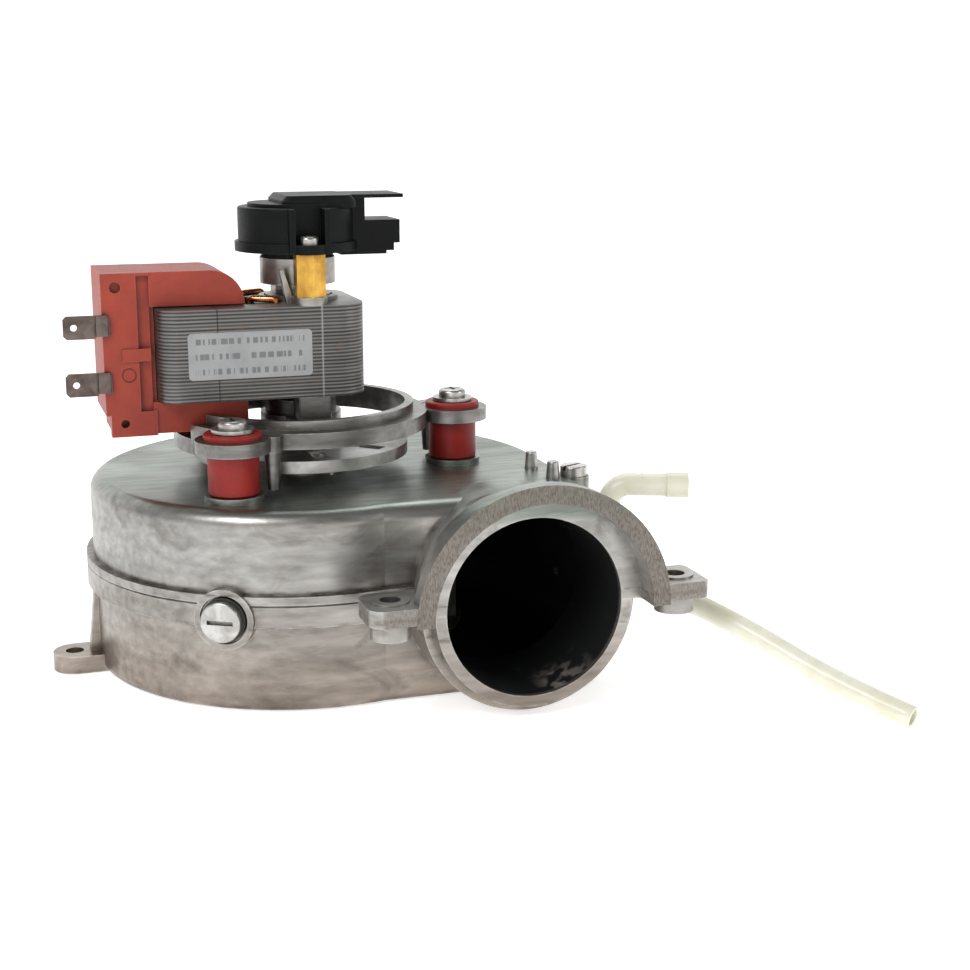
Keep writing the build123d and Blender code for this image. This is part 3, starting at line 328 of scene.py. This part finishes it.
def cast_aluminium(
    name, soot=False, hatch=False, joint=False, light=(0.46, 0.45, 0.43), dark=(0.205, 0.198, 0.185)
):
    """Die-cast aluminium: streaked skin, painted shade in the hollows, worn edges."""
    s = Shader(name, metallic=0.92, roughness=0.34)
    x, y, z = s.xyz()
    broad = s.noise(16, 3, distortion=0.4)
    streak = s.noise(34, 4, stretch=(1, 1, 5), distortion=0.3, roughness=0.5)
    brushed = s.noise(150, 4, stretch=(0.5, 3, 3), rotation=(0, 0, 0.5), roughness=0.5)
    grain = s.noise(2600, 3)
    pits = s.noise(420, 4)
    tone = s.math("MULTIPLY", s.math("ADD", broad, s.math("ADD", streak, brushed)), 0.3333)
    colour = s.mix(s.span(tone, 0.36, 0.64), dark, light)
    if joint:
        # warmer lower half, painted reflection on the roof and dirt lines at the joint
        colour = joint_dirt_and_painted_roof_tint(s, z, colour)
    # painted shade: colour darkened where ambient occlusion finds hollows, broken into patches by noise
    painted_corner_shade = s.span(s.occlusion(0.0035), 0.35, 0.85, 0.85, 0.0)
    shade_patches = s.span(s.noise(130, 5), 0.35, 0.62)
    colour = s.mix(s.math("MULTIPLY", painted_corner_shade, shade_patches), colour, (0.09, 0.07, 0.055))
    stains = s.noise(52, 6, stretch=(1, 1, 1.6), distortion=0.8, roughness=0.62)
    colour = s.mix(s.math("MULTIPLY", s.span(stains, 0.54, 0.68), 0.5), colour, (0.12, 0.105, 0.092))
    scratches = s.noise(900, 2, stretch=(0.12, 1, 1), rotation=(0.4, 0.3, 0.9))
    colour = s.mix(s.math("MULTIPLY", s.span(scratches, 0.66, 0.70), 0.1), colour, (0.62, 0.61, 0.59))
    wear = s.math("MULTIPLY", s.edges(0.0007), s.span(pits, 0.35, 0.6))
    colour = s.mix(s.math("MULTIPLY", wear, 0.55), colour, tuple(min(1.0, v * 1.45) for v in light))
    rough = s.span(tone, 0.38, 0.62, 0.40, 0.30)
    skin = s.math("ADD", s.math("MULTIPLY", pits, 0.5), tone)
    height = s.math("ADD", s.math("MULTIPLY", grain, 0.3), skin)
    if hatch:
        rim, cut = collar_rim(s, x, y, z)
        colour = s.mix(s.math("MULTIPLY", rim, 0.8), colour, (0.225, 0.20, 0.172))
        colour = s.mix(s.math("MULTIPLY", cut, 0.7), colour, (0.085, 0.072, 0.06))
        rough = s.math("MAXIMUM", rough, s.math("MULTIPLY", rim, 0.55))
        height = s.math("SUBTRACT", height, s.math("MULTIPLY", cut, 0.9))
    if soot:
        black = soot_mask(s, x, y, z)
        colour = s.mix(black, colour, soot_colour(s, x, y, z))
        rough = s.math("MAXIMUM", rough, s.math("MULTIPLY", black, 0.62))
        s.set(Metallic=s.math("SUBTRACT", 0.92, s.math("MULTIPLY", black, 0.85)))
    return s.set(Base_Color=colour, Roughness=rough, Normal=s.bump(height, 0.22, 0.00018))


def plain_metal(
    name, light, dark, rough=(0.24, 0.42), grain=900, stretch=(1, 1, 1), bump=0.2, wear=0.5, metallic=1.0
):
    """Turned, plated or drawn metal with tarnish, fine lines, painted shade in the hollows and worn edges."""
    s = Shader(name, metallic=metallic, roughness=rough[0])
    lines = s.noise(grain, 5, stretch=stretch)
    cloud = s.noise(160, 5, distortion=0.5)
    colour = s.mix(s.span(cloud, 0.36, 0.64), dark, light)
    # painted shade: colour darkened where ambient occlusion finds hollows
    painted_corner_shade = s.span(s.occlusion(0.0018), 0.4, 0.9, 0.7, 0.0)
    colour = s.mix(painted_corner_shade, colour, tuple(v * 0.22 for v in dark))
    bright = tuple(min(1.0, v * 1.25) for v in light)
    colour = s.mix(s.math("MULTIPLY", s.edges(0.0003), wear), colour, bright)
    roughness = s.span(lines, 0.3, 0.7, rough[0], rough[1])
    return s.set(Base_Color=colour, Roughness=roughness, Normal=s.bump(lines, bump, 0.00008))


def laminations(name):
    """Stacked electrical sheet: every edge line shows, with oxide and a pressed seam."""
    s = Shader(name, metallic=0.85, roughness=0.42)
    x, y, z = s.xyz()
    sheets = s.math("SINE", s.math("MULTIPLY", z, 2 * math.pi / 0.00098))
    layer = s.span(sheets, -1.0, 1.0)
    group = s.noise(1.0, 2, stretch=(8, 8, 900))
    cloud = s.noise(90, 5)
    tone = s.math("ADD", s.math("MULTIPLY", layer, 0.5), s.math("MULTIPLY", group, 0.5))
    side = s.below(s.math("ABSOLUTE", s.facing_up()), 0.5, 0.1)
    lined = s.mix(s.span(tone, 0.25, 0.75), (0.044, 0.044, 0.041), (0.20, 0.196, 0.19))
    flat = s.mix(s.span(cloud, 0.35, 0.65), (0.20, 0.20, 0.195), (0.30, 0.30, 0.29))
    colour = s.mix(side, flat, lined)
    rust = s.math("MULTIPLY", s.span(s.noise(210, 6), 0.58, 0.72), 0.35)
    colour = s.mix(rust, colour, (0.22, 0.13, 0.08))
    seam = s.below(s.math("ABSOLUTE", s.math("ADD", x, 0.0264)), 0.00016, 0.00012)
    colour = s.mix(s.math("MULTIPLY", seam, 0.9), colour, (0.03, 0.03, 0.03))
    weld = s.below(s.math("ABSOLUTE", s.math("SUBTRACT", x, 0.0024)), 0.00022, 0.00015)
    colour = s.mix(s.math("MULTIPLY", weld, 0.5), colour, (0.46, 0.45, 0.44))
    height = s.math("SUBTRACT", s.math("MULTIPLY", tone, side), seam)
    rough = s.span(cloud, 0.35, 0.65, 0.34, 0.52)
    return s.set(Base_Color=colour, Roughness=rough, Normal=s.bump(height, 0.5, 0.00025))


def plastic(name, base, deep, pale, rough=(0.34, 0.55), grain=1400, bump=0.12, wear=0.5, dust=0.0, **sockets):
    """Moulded plastic or rubber: mottled tone, fine skin, painted shade in the hollows, paler edges, dust on
    top.
    """
    s = Shader(name, roughness=rough[0], **sockets)
    cloud = s.noise(75, 6, distortion=0.4)
    skin = s.noise(grain, 4)
    colour = s.mix(s.span(cloud, 0.34, 0.66), deep, base)
    # painted shade: colour darkened where ambient occlusion finds hollows
    painted_corner_shade = s.span(s.occlusion(0.002), 0.35, 0.9, 0.65, 0.0)
    colour = s.mix(painted_corner_shade, colour, tuple(v * 0.3 for v in deep))
    colour = s.mix(s.math("MULTIPLY", s.edges(0.0005), wear), colour, pale)
    if dust:
        up_side = s.facing_up()
        settled = s.math("MULTIPLY", s.span(up_side, 0.3, 1.0), s.span(s.noise(240, 6), 0.35, 0.7))
        colour = s.mix(s.math("MULTIPLY", settled, dust), colour, (0.42, 0.40, 0.37))
    mottle = s.math("ADD", s.math("MULTIPLY", cloud, 0.5), s.math("MULTIPLY", skin, 0.5))
    roughness = s.span(mottle, 0.35, 0.65, rough[0], rough[1])
    height = s.math("ADD", s.math("MULTIPLY", skin, 0.5), cloud)
    return s.set(Base_Color=colour, Roughness=roughness, Normal=s.bump(height, bump, 0.0002))


def clear_silicone(name):
    """Milky yellow silicone tube, with painted shade where it is occluded."""
    s = Shader(name, roughness=0.3, IOR=1.41, Coat_Weight=0.25, Coat_Roughness=0.2)
    cloud = s.noise(110, 4)
    colour = s.mix(s.span(cloud, 0.35, 0.65), (0.74, 0.72, 0.55), (0.84, 0.83, 0.71))
    # painted shade: colour darkened where ambient occlusion finds hollows
    colour = s.mix(s.span(s.occlusion(0.003), 0.3, 0.9, 0.3, 0.0), colour, (0.70, 0.66, 0.44))
    rough = s.span(s.noise(300, 3), 0.35, 0.65, 0.24, 0.38)
    return s.set(Base_Color=colour, Roughness=rough)


def label_foil(name):
    """Silver foil plate with rows of short grey dashes and no lettering."""
    s = Shader(name, metallic=0.75, roughness=0.32)
    x, y, z = s.xyz()
    cloud = s.noise(120, 5)
    colour = s.mix(s.span(cloud, 0.35, 0.65), (0.255, 0.26, 0.265), (0.325, 0.33, 0.335))
    row = s.math("DIVIDE", s.math("SUBTRACT", z, 0.0844), 0.0041)
    row_part = s.math("FRACT", row)
    row_number = s.math("FLOOR", row)
    inside_row = s.math("MULTIPLY", s.span(row_part, 0.27, 0.32), s.below(row_part, 0.68, 0.03))
    jitter = s.math("MULTIPLY", row_number, 0.137)
    along = s.add("ShaderNodeCombineXYZ", {0: s.math("ADD", x, jitter), 1: jitter})
    dash = s.add("ShaderNodeTexNoise", {"Vector": along.outputs[0]})
    dash.inputs["Scale"].default_value = 860
    dash.inputs["Detail"].default_value = 1.0
    ink = s.math("MULTIPLY", inside_row, s.span(dash.outputs["Fac"], 0.49, 0.52))
    edge_x = s.below(s.math("ABSOLUTE", s.math("ADD", x, 0.0176)), 0.0150, 0.0002)
    edge_z = s.below(s.math("ABSOLUTE", s.math("SUBTRACT", z, 0.0906)), 0.0058, 0.0002)
    ink = s.math("MULTIPLY", ink, s.math("MULTIPLY", edge_x, edge_z))
    colour = s.mix(s.math("MULTIPLY", ink, 0.7), colour, (0.10, 0.10, 0.11))
    rough = s.span(cloud, 0.3, 0.7, 0.26, 0.42)
    return s.set(Base_Color=colour, Roughness=rough, Normal=s.bump(cloud, 0.15, 0.0002))


def winding_copper(name):
    """Enamelled wire laid side by side."""
    s = Shader(name, metallic=0.8, roughness=0.3)
    x, y, z = s.xyz()
    turns = s.math("SINE", s.math("MULTIPLY", y, 2 * math.pi / 0.0004))
    cloud = s.noise(300, 4)
    colour = s.mix(s.span(turns, -0.6, 0.8), (0.20, 0.06, 0.03), (0.72, 0.30, 0.13))
    colour = s.mix(s.span(cloud, 0.5, 0.7, 0.0, 0.4), colour, (0.30, 0.14, 0.07))
    rough = s.span(cloud, 0.3, 0.7, 0.22, 0.4)
    return s.set(Base_Color=colour, Roughness=rough, Normal=s.bump(turns, 0.6, 0.0002))


LOOKS = {
    "casing_low": cast_aluminium("casting_lower", soot=True, joint=True),
    "casing_up": cast_aluminium("casting_upper", soot=True, joint=True, hatch=True),
    "bracket": cast_aluminium("casting_bracket", light=(0.31, 0.305, 0.29), dark=(0.115, 0.112, 0.106)),
    "bridge": cast_aluminium("casting_bridge", light=(0.40, 0.385, 0.36), dark=(0.20, 0.19, 0.175)),
    "laminations": laminations("laminated_steel"),
    "screws": plain_metal("zinc_plated", (0.60, 0.59, 0.57), (0.36, 0.345, 0.32), wear=0.6),
    "bolts": plain_metal("machine_steel", (0.42, 0.41, 0.40), (0.24, 0.235, 0.225), stretch=(1, 1, 0.1)),
    "shaft": plain_metal(
        "ground_shaft", (0.62, 0.62, 0.62), (0.42, 0.42, 0.42), rough=(0.16, 0.3),
        stretch=(1, 1, 8),
    ),
    "sheet": plain_metal(
        "aluminised_sheet", (0.56, 0.56, 0.545), (0.36, 0.355, 0.34), rough=(0.28, 0.46), grain=500,
    ),
    "sooty_sheet": plain_metal(
        "sooted_sheet", (0.10, 0.10, 0.095), (0.03, 0.03, 0.03), rough=(0.45, 0.65), grain=500,
        metallic=0.6,
    ),
    "sooty_hub": plain_metal(
        "sooted_hub", (0.26, 0.25, 0.23), (0.09, 0.085, 0.08), rough=(0.36, 0.55), metallic=0.8,
    ),
    "brass": plain_metal(
        "turned_brass", (0.70, 0.41, 0.085), (0.42, 0.215, 0.04), rough=(0.18, 0.34),
        stretch=(1, 1, 0.15),
    ),
    "copper": plain_metal("bare_copper", (0.74, 0.32, 0.15), (0.42, 0.15, 0.07), rough=(0.2, 0.36)),
    "tinned": plain_metal(
        "tinned_brass", (0.165, 0.132, 0.12), (0.07, 0.054, 0.049), rough=(0.30, 0.50), wear=0.3,
    ),
    "bronze": plain_metal(
        "sintered_bronze", (0.50, 0.34, 0.18), (0.30, 0.19, 0.10), rough=(0.4, 0.6), grain=2600,
        bump=0.5,
    ),
    "pack": laminations("rotor_laminations"),
    "winding": winding_copper("enamelled_wire"),
    "cover": plastic(
        "brick_red_moulding", (0.365, 0.050, 0.027), (0.26, 0.032, 0.018), (0.48, 0.12, 0.075),
        rough=(0.40, 0.56), wear=0.4, dust=0.06, Specular_IOR_Level=0.35,
    ),
    "bobbin": plastic("natural_moulding", (0.80, 0.77, 0.68), (0.66, 0.62, 0.52), (0.9, 0.88, 0.8)),
    "bush": plastic(
        "red_silicone", (0.31, 0.014, 0.009), (0.18, 0.008, 0.006), (0.42, 0.05, 0.04),
        rough=(0.34, 0.50), wear=0.3, Specular_IOR_Level=0.35,
    ),
    "cap": plastic(
        "black_moulding", (0.0034, 0.0046, 0.0048), (0.0016, 0.0022, 0.0022), (0.026, 0.03, 0.03),
        rough=(0.36, 0.52), wear=0.35, dust=0.01, Specular_IOR_Level=0.14,
    ),
    "magnet": plastic(
        "ferrite", (0.05, 0.05, 0.052), (0.03, 0.03, 0.03), (0.12, 0.12, 0.12), rough=(0.4, 0.6),
    ),
    "board": plastic("circuit_board", (0.03, 0.16, 0.07), (0.02, 0.10, 0.05), (0.35, 0.32, 0.16)),
    "seal": plastic("seal_rubber", (0.035, 0.033, 0.03), (0.018, 0.018, 0.017), (0.08, 0.08, 0.08)),
    "silicone": clear_silicone("milky_silicone"),
    "foil": label_foil("blank_foil_plate"),
}

LOOK_OF = {
    "lower_casing": "casing_low",
    "upper_casing": "casing_up",
    "motor_bracket": "bracket",
    "bearing_bridge": "bridge",
    "stator_stack": "laminations",
    "coil_core": "laminations",
    "rotor_pack": "pack",
    "rotor_end_rings": "bridge",
    "casing_screws": "screws",
    "slotted_screw": "screws",
    "locating_pins": "sheet",
    "test_plug": "screws",
    "bush_screws": "screws",
    "cap_screws": "screws",
    "bush_sleeves": "bolts",
    "stack_bolts": "bolts",
    "plug_washer": "seal",
    "hose_nipple": "brass",
    "elbow_nipple": "brass",
    "brass_standoffs": "brass",
    "pressure_elbow": "silicone",
    "bush_front": "bush",
    "bush_right": "bush",
    "bush_rear": "bush",
    "lower_bearing": "bronze",
    "upper_bearing": "bronze",
    "bobbin": "bobbin",
    "coil_winding": "winding",
    "coil_cover": "cover",
    "terminal_upper": "tinned",
    "terminal_lower": "tinned",
    "connector_pins": "tinned",
    "shading_rings": "copper",
    "rating_label": "foil",
    "sensor_cap": "cap",
    "sensor_board": "board",
    "sensor_magnet": "magnet",
    "shaft": "shaft",
    "cooling_wheel": "sheet",
    "impeller": "sooty_sheet",
    "impeller_hub": "sooty_hub",
    "impeller_nut": "sooty_hub",
}
for node_name, look_name in LOOK_OF.items():
    node = nodes[node_name]
    if not node.material_slots:
        node.data.materials.append(None)
    for material_slot in node.material_slots:
        material_slot.material = LOOKS[look_name]
hose.data.materials.append(LOOKS["silicone"])

# ------------------------------------------------------------------ studio
def backdrop():
    """Pale floor that curves up behind."""
    profile = [(-2.5, 0.0), (1.2, 0.0)]
    for i in range(1, 13):
        angle = math.radians(90 * i / 12)
        profile.append((1.2 + 0.8 * math.sin(angle), 0.8 - 0.8 * math.cos(angle)))
    profile.append((2.0, 3.2))
    bm = bmesh.new()
    rows = []
    for along, height in profile:
        rows.append([bm.verts.new((side, along, height - 0.0002)) for side in (-4.0, 4.0)])
    for a, b in zip(rows, rows[1:]):
        bm.faces.new((a[0], a[1], b[1], b[0]))
    mesh = bpy.data.meshes.new("backdrop")
    bm.to_mesh(mesh)
    bm.free()
    for polygon in mesh.polygons:
        polygon.use_smooth = True
    made = put(bpy.data.objects.new("backdrop", mesh))
    paper = Shader("backdrop_paper", roughness=0.9, Base_Color=(0.90, 0.90, 0.90, 1.0))
    made.data.materials.append(paper.set(Emission_Color=(1.0, 1.0, 1.0, 1.0), Emission_Strength=0.62))
    return made


backdrop()


def area_light(name, place, aim, size, power, tint=(1, 1, 1)):
    data = bpy.data.lights.new(name, "AREA")
    data.shape = "RECTANGLE"
    data.size, data.size_y = size
    data.energy = power
    data.color = tint
    light = put(bpy.data.objects.new(name, data))
    light.location = place
    light.rotation_euler = (Vector(aim) - Vector(place)).to_track_quat("-Z", "Y").to_euler()


area_light("key", (-0.70, -0.65, 0.85), (0.0, 0.0, 0.05), (0.55, 0.45), 7.0)
area_light("fill", (0.95, -0.6, 0.5), (0.0, 0.0, 0.05), (0.4, 0.7), 2.6, (1.0, 0.985, 0.96))
area_light("top", (0.15, 0.55, 1.1), (0.0, 0.0, 0.05), (0.9, 0.5), 4.0, (0.97, 1.0, 0.985))
area_light("front_low", (-0.15, -1.3, 0.16), (0.0, 0.0, 0.04), (1.4, 0.22), 1.6, (1.0, 0.95, 0.90))


def studio_world(at_horizon=0.62, overhead=0.16):
    """White surroundings, brighter at the horizon than overhead."""
    world = bpy.data.worlds.new("studio")
    world.use_nodes = True
    sky = world.node_tree
    direction = sky.nodes.new("ShaderNodeTexCoord")
    parts = sky.nodes.new("ShaderNodeSeparateXYZ")
    ramp = sky.nodes.new("ShaderNodeMapRange")
    sky.links.new(direction.outputs["Generated"], parts.inputs[0])
    sky.links.new(parts.outputs[2], ramp.inputs[0])
    for socket, value in zip(list(ramp.inputs)[1:5], (0.0, 0.75, at_horizon, overhead)):
        socket.default_value = value
    sky.nodes["Background"].inputs[0].default_value = (1.0, 1.0, 1.0, 1.0)
    sky.links.new(ramp.outputs[0], sky.nodes["Background"].inputs[1])
    return world


scene.world = studio_world()
scene.view_settings.view_transform = "Standard"
